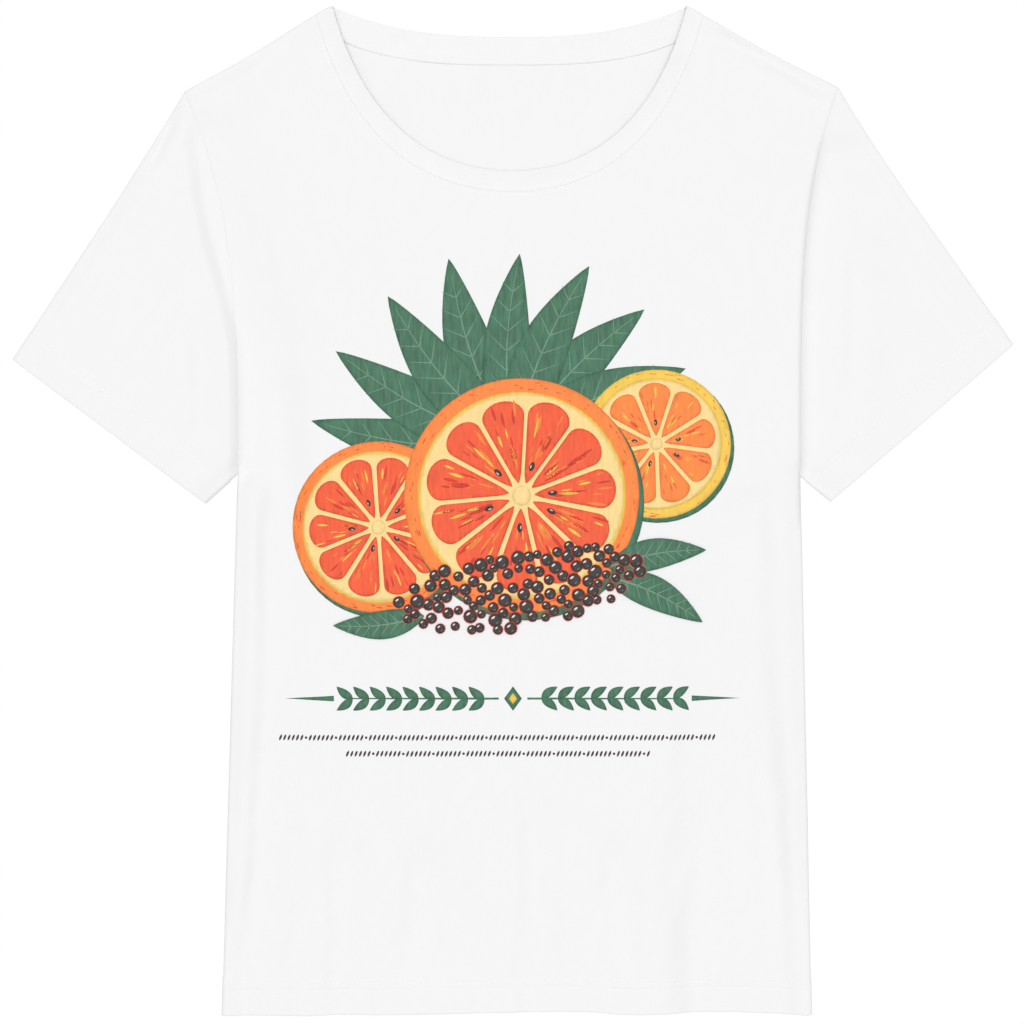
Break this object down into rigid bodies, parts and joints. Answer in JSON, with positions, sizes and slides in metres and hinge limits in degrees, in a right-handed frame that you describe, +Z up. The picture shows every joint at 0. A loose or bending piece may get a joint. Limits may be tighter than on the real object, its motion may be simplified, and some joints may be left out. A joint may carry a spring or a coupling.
{
  "type": "t-shirt",
  "caption": "Short-sleeved round-neck T-shirt of white jersey with a ribbed neckband and a printed front, lying flat on its back.",
  "frame": {"origin": "on the surface that the shirt lies on, under the middle of its length and width", "axes": "+Z up out of the printed front, +Y to the collar, +X to the right of the shirt as it is seen from above"},
  "size_m": [0.701, 0.706, 0.013],
  "materials": {
    "jersey": "matt knitted cotton jersey",
    "rib": "matt cotton ribbing"
  },
  "bodies": {
    "root": {"front": "jersey", "back": "jersey", "sleeve_left": "jersey", "sleeve_right": "jersey", "neckband": "rib"}
  },
  "joints": []
}
